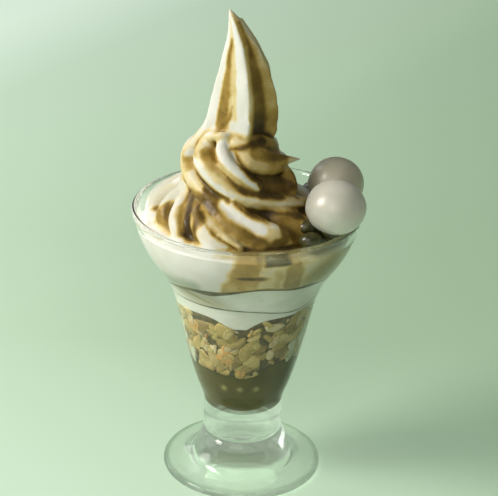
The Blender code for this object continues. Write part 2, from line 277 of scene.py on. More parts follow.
viewPoint = dict(place=(0, -0.708, 0.428), down=24.41, aside=0.09, roll=1.41, focalPixels=1786,
                 pixelsWide=498, sensor=36)
lights = dict(
    keyLight=dict(place=(-0.87, -0.18, 0.76), target=(0, 0, 0.1), size=0.42, power=11.5,
                  colour=(1.0, 0.965, 0.93)),
    fillLight=dict(place=(-0.3, -0.95, 0.8), target=(0, 0, 0.12), size=0.8, power=4.0,
                   colour=(1.0, 0.97, 0.94)),
    backLight=dict(place=(-0.9, 0.8, 0.6), target=(-0.4, 0.6, 0.0), size=0.7, power=3.4,
                   colour=(1.0, 0.98, 1.0)))
surround = dict(colour=(0.64, 0.69, 0.60), strength=0.26, inGlass=0.28)
floorLook = dict(  # painted light: its glow goes from one side to the other, and turns away far off and close by
    size=5.0, colour=(0.34, 0.45, 0.325), roughness=0.6,
    glow=[(0.28, (0.44, 0.51, 0.46)), (0.34, (0.28, 0.355, 0.29)), (0.44, (0.208, 0.284, 0.205)),
          (0.47, (0.164, 0.238, 0.163)), (0.56, (0.11, 0.176, 0.105)), (1.0, (0.075, 0.125, 0.07))],
    glowSpan=2.0, glowFrom=0.25, glowTurn=0.3, glowNear=0.12, nearTurn=0.7)


def addCamera():
    data = bpy.data.cameras.new("viewCamera")
    data.sensor_width = viewPoint["sensor"]
    data.lens = viewPoint["focalPixels"] / viewPoint["pixelsWide"] * data.sensor_width
    camera = shown("viewCamera", data)
    turn = (Matrix.Rotation(math.radians(-viewPoint["aside"]), 4, "Z")
            @ Matrix.Rotation(math.radians(90 - viewPoint["down"]), 4, "X")
            @ Matrix.Rotation(math.radians(viewPoint["roll"]), 4, "Z"))
    camera.matrix_world = Matrix.Translation(viewPoint["place"]) @ turn
    bpy.context.scene.camera = camera


def addLight(name, look):
    data = bpy.data.lights.new(name, "AREA")
    data.shape, data.size = "DISK", look["size"]
    data.energy, data.color = look["power"], look["colour"]
    light = shown(name, data)
    light.location = look["place"]
    aim = Vector(look["target"]) - Vector(look["place"])
    light.rotation_euler = aim.to_track_quat("-Z", "Y").to_euler()


def addStage():
    world = bpy.data.worlds.new("softRoom")
    bpy.context.scene.world = world
    world.use_nodes = True
    tree = world.node_tree
    tree.nodes["Background"].inputs["Color"].default_value = (*surround["colour"], 1)
    path = tree.nodes.new("ShaderNodeLightPath")  # brighter in the glass than as light on the food
    more = tree.nodes.new("ShaderNodeMath")
    more.operation = "MULTIPLY_ADD"
    more.inputs[1].default_value, more.inputs[2].default_value = surround["inGlass"], surround["strength"]
    tree.links.new(path.outputs["Is Transmission Ray"], more.inputs[0])
    tree.links.new(more.outputs[0], tree.nodes["Background"].inputs["Strength"])
    paint = Paint("paleFloor", floorLook["roughness"], {"Emission Strength": 1.0})
    base = Vector(floorLook["colour"])
    paint.colour(paint.ramp(paint.grain(3.0, 2.0), (0.3, base * 0.97), (0.7, base * 1.03)))
    deep = paint.axis("Y")
    far = ((deep - floorLook["glowFrom"]) * floorLook["glowTurn"]).clamped()
    near = ((floorLook["glowNear"] - deep) * floorLook["nearTurn"]).clamped()
    along = paint.axis("X") / floorLook["glowSpan"] + 0.5 - far - near
    # painted light: the floor glows, more to one side, though it is no lamp
    paint.feed("Emission Color", paint.ramp(along.clamped(), *floorLook["glow"]))
    bm = bmesh.new()
    bmesh.ops.create_grid(bm, x_segments=4, y_segments=4, size=floorLook["size"] / 2)
    floor = shown("floor", meshFrom(bm, "floor"))
    floor.data.materials.append(paint.material)
    bpy.context.scene.view_settings.view_transform = "Standard"


# the glass

glassShape = dict(
    rim=50.0, rimHeight=126.7, bead=1.15, segments=144, steps=5, puntRadius=21.5, puntHeight=8.2,
    foot=[(34.1, 0), (35.2, 0.45), (35.7, 1.6), (35.3, 2.7), (34.2, 3.35), (30, 3.8), (24.8, 4.4),
          (21.9, 7), (20.5, 11), (18.8, 16), (17.1, 18.3), (17.5, 19.8), (17.6, 22), (17.6, 30),
          (17.6, 34)],
    bowl=[(17.6, 34), (18.6, 38), (21.5, 46), (24.6, 57), (28, 71), (31.2, 85), (33.8, 92), (36.4, 97),
          (39.7, 102), (43.6, 108), (47.2, 116), (50, 125.55)],
    floor=[(0, 28.5), (5.5, 29.2), (10.3, 31.2), (13.6, 34.2), (15.9, 38)],
    wall=2.6, shoulderWall=0.9, shoulder=101.0, shoulderReach=8)
glassLook = dict(  # painted shade: tint by height, with dark rings standing for the lines thick glass shows at its turns; a darker painted edge round the foot by reach squared
    tintAndPaintedShade=[(0.1, (0.80, 0.87, 0.80)), (0.31, (0.88, 0.93, 0.88)), (0.345, (0.60, 0.70, 0.60)),
          (0.38, (0.95, 0.97, 0.95)), (0.44, (0.92, 0.96, 0.92)), (0.46, (0.48, 0.58, 0.48)),
          (0.485, (0.96, 0.98, 0.96)), (0.6, (0.975, 0.992, 0.98))], tintScale=25.0,
    paintedEdgeShade=(0.42, 0.53, 0.42, 1), paintedEdgeReach=0.00107, paintedEdgeSharpness=14000.0,
    footToBowl=(0.036, 0.042, 0.52, 1.0), wallToRim=(0.120, 0.123, 0.0, 0.3),  # heights, then alphas
    beadFrom=0.1252, beadEdge=900.0, shadow=0.88)


def wallAcross(height):
    away = (height - glassShape["shoulder"]) / glassShape["shoulderReach"]
    return glassShape["wall"] + glassShape["shoulderWall"] * math.exp(-(away**2))


bowlInside = [(radius - wallAcross(height), height) for radius, height in glassShape["bowl"][2:]]
innerLine = smoothPath(glassShape["floor"] + bowlInside, glassShape["steps"])
innerRadii, innerHeights = zip(*innerLine)


def innerRadius(height):
    return float(np.interp(height, innerHeights, innerRadii))


def buildGlass():
    paint, look = Paint("clearGlass", fixed={"Transmission Weight": 1.0, "IOR": 1.5}), glassLook
    smear = paint.grain(60.0, 4.0)
    edge = paint.node("LayerWeight", {}, {"Blend": 0.35}, "Facing")
    shadow = paint.node("LightPath", {}, {}, "Is Shadow Ray")
    height, across, deep = paint.axis("Z"), paint.axis("X"), paint.axis("Y")
    solid = paint.fade(height, *look["footToBowl"])
    rim = paint.fade(height, *look["wallToRim"])
    reach = across * across + deep * deep
    low = (1.0 - height * look["tintScale"]).clamped()
    # painted shade: a darker green edge round the foot and dark rings by height, over the glass's tint
    paintedEdgeMask = ((reach - look["paintedEdgeReach"]) * look["paintedEdgeSharpness"]).clamped() * low
    tintAndPaintedShade = paint.ramp(height * look["tintScale"], *look["tintAndPaintedShade"])
    paint.colour(paint.blend(paintedEdgeMask, tintAndPaintedShade, look["paintedEdgeShade"]))
    bead = ((height - look["beadFrom"]) * look["beadEdge"]).clamped()
    paint.feed("Alpha", ((edge ** 1.5) * 1.1 + solid - rim).clamped() * (1.0 - shadow * look["shadow"]))
    paint.feed("Roughness", (smear - 0.45).clamped() * 0.08 + bead * 0.22)
    paint.relief(paint.grain(35.0, 1.0), 0.0004, 0.25)
    shape = glassShape
    profile = []
    for step in range(10):
        lean = math.radians(10 * step)
        profile.append((shape["puntRadius"] * math.sin(lean), shape["puntHeight"] * math.cos(lean)))
    profile += smoothPath(shape["foot"], shape["steps"]) + smoothPath(shape["bowl"], shape["steps"])[1:]
    for step in range(1, 8):
        lean = math.radians(180 * step / 8)
        profile.append((shape["rim"] - shape["bead"] * (1 - math.cos(lean)),
                        shape["rimHeight"] - shape["bead"] * (1 - math.sin(lean))))
    profile += list(reversed(innerLine))
    pieceFrom(turned(profile, shape["segments"]), "footedGlass", paint, "glass")


# the layers inside it

layerShape = dict(
    columns=288, rings=6, intoWall=0.15, wallCreamIn=0.22,
    jellyTop=57.5, jellyHills=((-2.6, 268, 24), (5.5, 318, 26), (1.5, 130, 50)),
    cerealTop=86.6, cerealDip=5.2, cerealHills=((-2.4, 192, 24), (-3, 60, 30)),
    creamTop=92.4, creamHills=((-3.6, 312, 26),),
    secondCreamTop=96.6, secondCreamTilt=8.9, secondCreamHigh=288, secondCreamLeast=2.0,
    secondCreamHills=((1.2, 279, 13), (-1.4, 249, 13), (-0.6, 300, 10)),
    wallCreamTop=118.5, wallCreamTilt=3.0, wallCreamHigh=240)
jellyLook = dict(dark=(0.053, 0.044, 0.002), middle=(0.081, 0.065, 0.003), pale=(0.12, 0.096, 0.006),
                 paleSpot=(0.33, 0.30, 0.10, 1), paleSpots=(246, 266, 286), paleSpotHeight=48, wallFrom=46.0,
                 rows=20)


def jellyTop(angle):
    return hilly(layerShape["jellyTop"], layerShape["jellyHills"], angle)


def cerealTop(angle):
    dip = layerShape["cerealDip"] * min(1.0, 1.3 * hill(angle, 264, 15))  # with a flat bottom
    return hilly(layerShape["cerealTop"] - dip, layerShape["cerealHills"], angle)


def creamTop(angle):
    return hilly(layerShape["creamTop"], layerShape["creamHills"], angle)


def tilted(name, angle):  # a level that leans to one side
    turn = math.radians(angle - layerShape[name + "High"])
    return layerShape[name + "Top"] + layerShape[name + "Tilt"] * math.cos(turn)


def secondCreamTop(angle):
    waves = hilly(0, layerShape["secondCreamHills"], angle)
    return max(tilted("secondCream", angle) + waves, creamTop(angle) + layerShape["secondCreamLeast"])


def wallCreamTop(angle):
    return tilted("wallCream", angle)


meanHeights = {}


def dished(edge, share, angle):  # a layer's face: wavy at the wall, level at the axis
    if edge not in meanHeights:
        meanHeights[edge] = sum(edge(turn) for turn in range(0, 360, 10)) / 36
    return meanHeights[edge] + (edge(angle) - meanHeights[edge]) * share**2


def layerMesh(bottom, top, rows, intoWall):
    rings = layerShape["rings"]
    profile = [(ring / rings, 0) for ring in range(rings)] + [(1, row / rows) for row in range(rows + 1)]
    profile += [(ring / rings, 1) for ring in reversed(range(rings))]
    bm = turned(profile, layerShape["columns"])
    for vert in bm.verts:
        up, angle, share = vert.co.z, angleOf(vert.co), vert.co.xy.length
        edgeHeight = bottom(angle) + (top(angle) - bottom(angle)) * up
        low, high = dished(bottom, share, angle), dished(top, share, angle)
        vert.co = polar(share * (innerRadius(edgeHeight) + intoWall), angle, low + (high - low) * up)
    return bm


def buildJelly():
    paint = Paint("darkJelly", 0.4, {"Specular IOR Level": 0.12}, (0.3, 0.004, (1.0, 0.85, 0.3)))
    look = jellyLook
    cloud = paint.grain(70.0) * 0.6 + paint.grain(260.0, 2.0) * 0.4
    depth = paint.ramp(cloud, (0.3, look["dark"]), (0.5, look["middle"]), (0.72, look["pale"]))
    paint.colour(paint.blend(paint.attribute("light"), depth, look["paleSpot"]))
    paint.relief(paint.grain(180.0, 2.0), 0.0006, 0.3)
    start, reach, rings, far = look["wallFrom"], layerShape["intoWall"], layerShape["rings"], 100
    below = [(radius, height) for radius, height in innerLine if height < start - 0.5]
    profile = [(0, below[0][1] - reach)] + [(radius + reach, height) for radius, height in below[1:]]
    profile += [(far, row / look["rows"]) for row in range(look["rows"] + 1)]  # wall and top, as shares
    profile += [(ring / rings * far, 1) for ring in reversed(range(rings))]
    bm = turned(profile, layerShape["columns"])
    for vert in bm.verts:
        if vert.co.z <= 1:
            share, angle, up = vert.co.xy.length / far, angleOf(vert.co), vert.co.z
            edgeHeight = start + (jellyTop(angle) - start) * up
            inside = dished(jellyTop, share, angle) if up == 1 else edgeHeight
            vert.co = polar(share * (innerRadius(edgeHeight) + reach), angle, inside)
    piece = pieceFrom(bm, "jellyLayer", paint, "jelly")

    def paleSpots(angle, height):  # three small pale spots in a row, painted in the jelly's colour
        level = hill(height, look["paleSpotHeight"], 1.3)
        return level * max(hill(angle, place, 3.4) for place in look["paleSpots"])
    paintByPlace(piece, "light", paleSpots)


creamColour = dict(bright=(0.685, 0.675, 0.62), dull=(0.63, 0.615, 0.53))
# thin is the grey green of the painted shade laid over the cream
syrupColour = dict(thin=(0.20, 0.25, 0.135, 1), pale=(0.64, 0.53, 0.27), golden=(0.40, 0.265, 0.062),
                   brown=(0.16, 0.098, 0.020), dark=(0.048, 0.030, 0.009))
layerColour = dict(dull=(0.60, 0.63, 0.52), bright=(0.76, 0.77, 0.68), sauce=(0.21, 0.18, 0.03, 1))


def creamPaint(name):  # soft cream that shows syrup wherever the piece's own attribute says so, and painted grey-green shade where its shade attribute says so
    paint = Paint(name, fixed={"Coat Roughness": 0.22, "Specular IOR Level": 0.14},
                  soft=(0.18, 0.002, (1.0, 0.85, 0.55)))
    broad = paint.grain(75.0, 5.0)
    amount = paint.attribute("syrup")
    crumbs = ((paint.grain(700.0, 2.0, 0.6) - 0.62) * 5.0).clamped()  # fine dark specks in the syrup
    spread = (amount + (broad - 0.5) * amount * (1.15 - amount) * 2.6).clamped()
    spread = (spread + crumbs * spread * (1.0 - spread) * 0.8).clamped()
    cream = paint.ramp(broad, (0.35, creamColour["dull"]), (0.6, creamColour["bright"]))
    glaze = paint.ramp(spread, (0.0, creamColour["bright"]), (0.3, syrupColour["pale"]),
                       (0.58, syrupColour["golden"]), (0.82, syrupColour["brown"]),
                       (1.0, syrupColour["dark"]))
    wet = paint.blend((spread * 4.0).clamped(), cream, glaze)
    # painted shade: grey green over the cream where the shade attribute says
    paint.colour(paint.blend(paint.attribute("shade"), wet, syrupColour["thin"]))
    paint.feed("Coat Weight", (spread * 3.0).clamped() * (1.15 - spread) * 0.14)
    paint.feed("Roughness", 0.46 - (spread * 1.5).clamped() * 0.12)
    paint.relief(paint.grain(420.0, 4.0) + paint.grain(1400.0, 2.0) * spread, 0.00025, 0.5)
    return paint


def buildCreams():
    paint = Paint("smoothCream", 0.4, soft=(0.3, 0.0025, (1.0, 0.8, 0.55)))
    tone = paint.grain(45.0, stretch=(1, 1, 2.2))
    cream = paint.ramp(tone, (0.3, layerColour["dull"]), (0.7, layerColour["bright"]))
    paint.colour(paint.blend(paint.attribute("syrup"), cream, layerColour["sauce"]))
    paint.relief(paint.grain(160.0), 0.0004, 0.35)
    into = layerShape["intoWall"]
    low = pieceFrom(layerMesh(cerealTop, creamTop, 24, into), "creamLayer", paint, "cream")
    high = pieceFrom(layerMesh(creamTop, secondCreamTop, 32, into), "secondCreamLayer", paint,
                     "second_cream")

    def sauceWedge(angle, height):  # sauce that has run down between the two lines at the left; the broad thin part round it is painted shade in the sauce's colour
        along = (angle - 216) / 36
        middle, half = 101.6 - 8.2 * along, 2.8 - 2.0 * along
        # thin: painted shade, a broad wash of the sauce colour round the wedge
        thin = 0.6 * band(along, -1.2, 1.2, 0.5) * band(height, middle - 7, middle + 6, 6)
        return max(thin, 0.9 * band(height, middle - half, middle + half, 2.4) * band(along, -0.3, 1, 0.4))
    paintByPlace(low, "syrup", lambda angle, height: 0.0)
    paintByPlace(high, "syrup", sauceWedge)


lineLook = dict(
    upper=dict(edge=secondCreamTop, thick=0.42, swell=((1.25, 244, 15), (0.5, 309, 12)), out=0.42,
               colour=(0.10, 0.075, 0.014)),
    # lower: painted shade, a dark ring along the top of the lower cream at the wall
    lower=dict(edge=creamTop, thick=0.24, swell=((0.25, 240, 12),), out=0.32, colour=(0.13, 0.135, 0.07)))
lineSection = ((-1, -1), (0, -1), (1, -0.8), (1, 0.8), (0, 1), (-1, 1))


# dark rings at the wall: the upper one is sauce, the lower one is painted shade
def buildSauceLines():
    for name, look in lineLook.items():
        paint = Paint(name + "Sauce", 0.5, {"Specular IOR Level": 0.1})
        base = Vector(look["colour"])
        paint.colour(paint.ramp(paint.grain(220.0), (0.3, base * 0.6), (0.7, base * 1.5)))
        centre = 20.0
        bm = turned([(centre + across, up) for across, up in lineSection], 360, closed=True)
        for vert in bm.verts:
            out, up, angle = vert.co.xy.length - centre, vert.co.z, angleOf(vert.co)
            thick = look["thick"] + hilly(0, look["swell"], angle)
            height = look["edge"](angle) + up * (thick * (1 + noise.noise(polar(3, angle, 7))))
            vert.co = polar(innerRadius(height) + (look["out"] if out > 0 else -0.6), angle, height)
        pieceFrom(bm, name + "SauceLine", paint)


cerealLook = dict(
    flakes=dict(count=350, size=(5.4, 3.9, 1.7), sides=12, rings=7, rough=0.2),
    puffs=dict(count=190, size=(3.3, 1.8, 1.5), sides=10, rings=7, rough=0.14),
    crumbs=dict(count=140, size=(1.4, 1.1, 0.9), sides=7, rings=5, rough=0.25))
cerealPlan = dict(
    seed=5, relief=1.3, depth=2.0, shade=((0.045, 0.036, 0.010), (0.13, 0.105, 0.03)),
    colours=[(0.0, (0.17, 0.12, 0.025)), (0.2, (0.31, 0.235, 0.06)), (0.45, (0.43, 0.34, 0.10)),
             (0.7, (0.50, 0.41, 0.16)), (0.85, (0.56, 0.51, 0.31)), (0.93, (0.54, 0.31, 0.075))],
    tones=(0.05, 0.2, 0.3, 0.4, 0.45, 0.5, 0.6, 0.7, 0.8), toasted=0.95, speck=(0.33, 0.22, 0.08, 1),
    smears=[(197, 73, 3.4, 7.5), (206, 62, 2.6, 4.5), (322, 66, 3.0, 6.5), (336, 72, 3.2, 5.5)],
    smearShade=((0.42, 0.45, 0.29), (0.60, 0.64, 0.47)))


def buildCereal():
    plan = cerealPlan
    draw = random.Random(plan["seed"])
    paint = Paint("cerealShade", 0.8)
    dark, light = plan["shade"]
    paint.colour(paint.ramp(paint.grain(330.0), (0.35, dark), (0.65, light)))
    pieceFrom(layerMesh(jellyTop, cerealTop, 20, layerShape["intoWall"]), "cerealHeart", paint,
              "cereal")
    paint = Paint("crispCereal", 0.6, soft=(0.12, 0.001))
    toast = paint.grain(520.0, 4.0)
    colour = paint.ramp(paint.attribute("tone"), *plan["colours"])
    paint.colour(paint.blend(((toast - 0.46) * 3.0).clamped() * 0.7, colour, plan["speck"]))
    paint.relief(toast + paint.grain(1500.0, 2.0) * 0.5, 0.0004, 0.8)
    for kind, look in cerealLook.items():
        bm = bmesh.new()
        for _ in range(look["count"]):
            angle = draw.uniform(0, 360)
            low, high = jellyTop(angle), cerealTop(angle)
            height = low + (high - low) * draw.uniform(0.03, 0.98)
            reach = innerRadius(height) - draw.uniform(-0.5, plan["depth"])
            grain = bmesh.new()
            toneLayer = grain.verts.layers.float.new("tone")
            made = unitBall(grain, look["sides"], look["rings"])
            size = [length * draw.uniform(0.7, 1.2) for length in look["size"]]
            curl = draw.uniform(-0.3, 0.3)
            toasted = 0.02 + hill(angle, 252, 8) * hill(height, 63, 5)  # most of them low at the front left
            value = plan["toasted"] if draw.random() < toasted else draw.choice(plan["tones"])
            lump = draw.uniform(0, 100)
            for vert in made:
                vert.co *= 1 + look["rough"] * 2 * noise.noise(vert.co * 1.7 + Vector((lump, 0, 0)))
                vert.co = Vector((vert.co.x * size[0], vert.co.y * size[1],
                                  vert.co.z * size[2] + curl * (vert.co.x * vert.co.x - 0.4) * size[0]))
                vert[toneLayer] = value
            tilt = Euler((draw.gauss(0, 0.4), draw.gauss(0, 0.4), draw.uniform(0, math.tau))).to_matrix()
            facing = Matrix.Rotation(math.radians(angle), 3, "Z") @ Matrix.Rotation(math.pi / 2, 3, "Y")
            centre = polar(reach, angle, height)
            for vert in made:
                place = centre + facing @ tilt @ vert.co
                far = innerRadius(place.z) + plan["relief"]
                if place.xy.length > far:
                    place.xy *= far / place.xy.length
                around = angleOf(place)
                place.z = min(cerealTop(around) + 0.5, max(jellyTop(around) - 0.6, place.z))
                vert.co = place
            joinTo(bm, grain)
        pieceFrom(bm, "cereal" + kind.capitalize(), paint)


def buildSmears():  # cream that has run down the glass outside the cereal
    paint = Paint("thinCream", 0.4, soft=(0.2, 0.002))
    dull, bright = cerealPlan["smearShade"]
    paint.colour(paint.ramp(paint.grain(160.0), (0.35, dull), (0.7, bright)))
    paint.relief(paint.grain(200.0), 0.0004, 0.4)
    bm = bmesh.new()
    for angle, height, wide, tall in cerealPlan["smears"]:
        blob = bmesh.new()
        for vert in unitBall(blob, 32, 24):
            edge = 1 + 0.35 * noise.noise(vert.co * 1.6 + Vector((angle, 0, 0)))
            up = height + vert.co.z * tall * edge
            turn = angle + math.degrees(vert.co.y * wide * edge / innerRadius(up))
            vert.co = polar(innerRadius(up) + cerealPlan["relief"] - 0.5 + 0.6 * vert.co.x, turn, up)
        joinTo(bm, blob)
    pieceFrom(bm, "creamSmears", paint)


# the soft serve

swirlShape = dict(
    shoulder=[(0.0, 46), (1.0, 42), (3.5, 36)],
    core=[(124, 38), (128, 34), (133, 27.5), (140, 23), (150, 19.5), (158, 14)],
    envelope=[(112, 45), (120, 44.5), (124, 42.5), (128, 39), (132, 34), (136, 29.5), (140, 27.5),
              (145, 26.5), (150, 25), (154, 22.5), (158, 19), (162, 17), (168, 16)],
    lean=[(118, 0), (124, -1), (128, -2), (132, -3), (136, -3.8), (141, -4), (146, -5.8), (152, -6.8),
          (160, -4.8), (168, -3.4)],
    narrow=[(126, 1.0), (136, 0.9), (146, 0.87), (156, 0.93), (160, 1.0)],
    backLobe=((-26.4, 12, 120), (18.4, 19, 13.6)),
    sides=20, flatness=0.82, voxel=0.6, smoothing=9, grooveReach=26, ripple=0.16, tipFrom=205,
    intoWall=0.1, wallReach=39, wallTop=125)

# each strand: the (angle, height) points it passes, its half thickness at start and end, how much syrup
# covers its top and its lower side at the start and at the end, and how far it lies under the outline
strand = namedtuple("strand", "path thick glaze inset pointed", defaults=(0, False))
strandPlans = dict(
    crest=strand([(256, 161.5), (287, 157.5), (318, 154.2), (350, 151)], (3.8, 3.8),
        (0.25, 0.5, 0.4, 0.6), pointed=True),
    plateEdge=strand([(270, 158), (282, 155.5), (295, 153), (310, 151), (331, 149.3), (356, 146.5),
        (380, 140)], (2.8, 3.8), (0.35, 0.55, 0.4, 0.6), 0.2),
    plateRight=strand([(346, 149), (352, 144), (351, 139), (342, 135.5)], (2.8, 3.4),
        (0.35, 0.5, 0.45, 0.6)),
    underSpire=strand([(268, 164), (290, 162), (314, 159.5), (345, 156), (374, 152)], (3.4, 3.6),
        (0.6, 0.75, 0.55, 0.65), 0.8),
    bright=strand([(243, 163), (248, 158.5), (258, 155), (270, 152), (281, 148.5), (292, 145.5),
        (299, 143.5)], (3.0, 3.5), (0.0, 0.45, 0.0, 0.6), -0.9),
    broad=strand([(211, 169), (215, 162), (214, 157), (222, 153.5), (236, 150), (249, 146.5),
        (262, 143), (275, 140.5), (290, 138.5), (311, 136), (333, 133), (352, 130)], (4.6, 4.4),
        (0.08, 0.25, 0.38, 0.9)),
    curl=strand([(211, 160), (229, 162.5), (250, 163.5)], (2.0, 2.0), (0.1, 0.3, 0.1, 0.4)),
    outerLeft=strand([(194, 174), (197, 167), (195, 161), (190, 156), (189, 151), (192, 146),
        (202, 142), (214, 139)], (3.4, 2.8), (0.04, 0.3, 0.3, 0.5)),
    creamBand=strand([(251, 140.5), (261, 137), (270, 134.2), (279, 131.5), (287, 129), (295, 126.5),
        (302, 124)], (3.0, 5.2), (0.02, 0.2, 0.12, 0.5)),
    syrupBand=strand([(222, 147), (229, 140.5), (240, 135.5), (251, 132.5), (261, 129.5), (271, 127),
        (283, 124.5)], (5.0, 5.4), (0.42, 0.5, 0.6, 0.7), 1.2),
    thinLine=strand([(231, 137), (239, 134.3), (245, 132.3), (251, 130.6), (256, 129), (262, 127.2),
        (269, 124.5)], (1.6, 1.6), (0.18, 0.35, 0.2, 0.4), -0.7),
    lowerLobe=strand([(227, 135), (235, 130.8), (243, 127.5), (251, 124.5), (260, 120.5)], (4.4, 6.0),
        (0.42, 0.3, 0.0, 0.0), 0.2),
    frontFloor=strand([(262, 125), (278, 124), (294, 124.5), (312, 127)], (6.0, 6.0),
        (0.5, 0.65, 0.7, 0.85), 4.2),
    rightFloor=strand([(300, 132), (310, 129), (318, 126), (326, 123)], (6.0, 6.0),
        (0.6, 0.7, 0.55, 0.85), 3.8),
    collarRidge=strand([(204, 142), (207, 135), (213, 130.5), (221, 126.5), (229, 121)], (3.0, 4.4),
        (0.1, 0.5, 0.0, 0.5)),
    collarFloor=strand([(189, 137), (193, 131), (199, 126), (206, 121)], (5.6, 6.0),
        (0.45, 0.5, 0.55, 0.6), 1.6),
    outerCollar=strand([(168, 137), (172, 131.5), (176, 127), (182, 123), (189, 118.5)], (4.2, 5.4),
        (0.05, 0.1, 0.0, 0.12)),
    valleyFloor=strand([(212, 142), (219, 135), (228, 129), (236, 123)], (6.0, 6.0),
        (0.7, 0.7, 0.78, 0.8), 3.0))
for turn in range(5):  # the crown goes on round the back
    way = [(-38 + 45 * turn + 122 * t, 156.5 - 21.5 * t - 8 * t * (1 - t))
           for t in (0, 0.2, 0.4, 0.6, 0.8, 1)]
    strandPlans[f"crown{turn}"] = strand(way, (3.6, 3.6), (0.1, 0.35, 0.3, 0.5))
for turn in range(2):
    way = [(148 - 32 * turn, 133), (161 - 32 * turn, 127.5), (174 - 32 * turn, 122)]
    strandPlans[f"collar{turn}"] = strand(way, (4.8, 5.2), (0.1, 0.2, 0.05, 0.3))

spireShape = dict(
    ridges=[278, 340, 395, 450, 500, 553], depth=0.24, columns=216, tip=214.2, scale=0.93,
    outline=[(157, 11), (159.5, 16), (162.5, 17.8), (166, 17.4), (171, 17.1), (180, 15.3), (190, 12.0),
             (198, 8.8), (204, 5.7), (209, 3.3), (212.5, 1.4)],
    twist=[(160, 4), (172, 2), (182, -1), (192, -4), (204, -8), (214, -14)],
    lean=[(158, -4.2), (163, -3.8), (170, -2.7), (180, -2.1), (190, -2.3), (200, -3.8), (208, -6.5),
          (214, -9.5)],
    second=[(164, 4.4, 5.0), (176, 4.8, 5.6), (189, 3.4, 4.6), (200, -0.8, 3.2), (209.4, -5.0, 1.3)],
    glaze=[(0, 0.5), (20, 0.6), (50, 0.15), (75, 0.5), (90, 0.1), (115, 0.5), (140, 0.1), (162, 0.4),
           (176, 0.02), (214, 0.03), (223, 0.4), (240, 0.4), (247, 0.05), (252, 0.0), (276, 0.0),
           (283, 0.5), (289, 0.84), (313, 0.88), (322, 0.62), (345, 0.55), (360, 0.5)],
    glazeFade=[(163, 1.1), (175, 1.0), (200, 0.8), (213, 0.3)], glazeFrom=163)
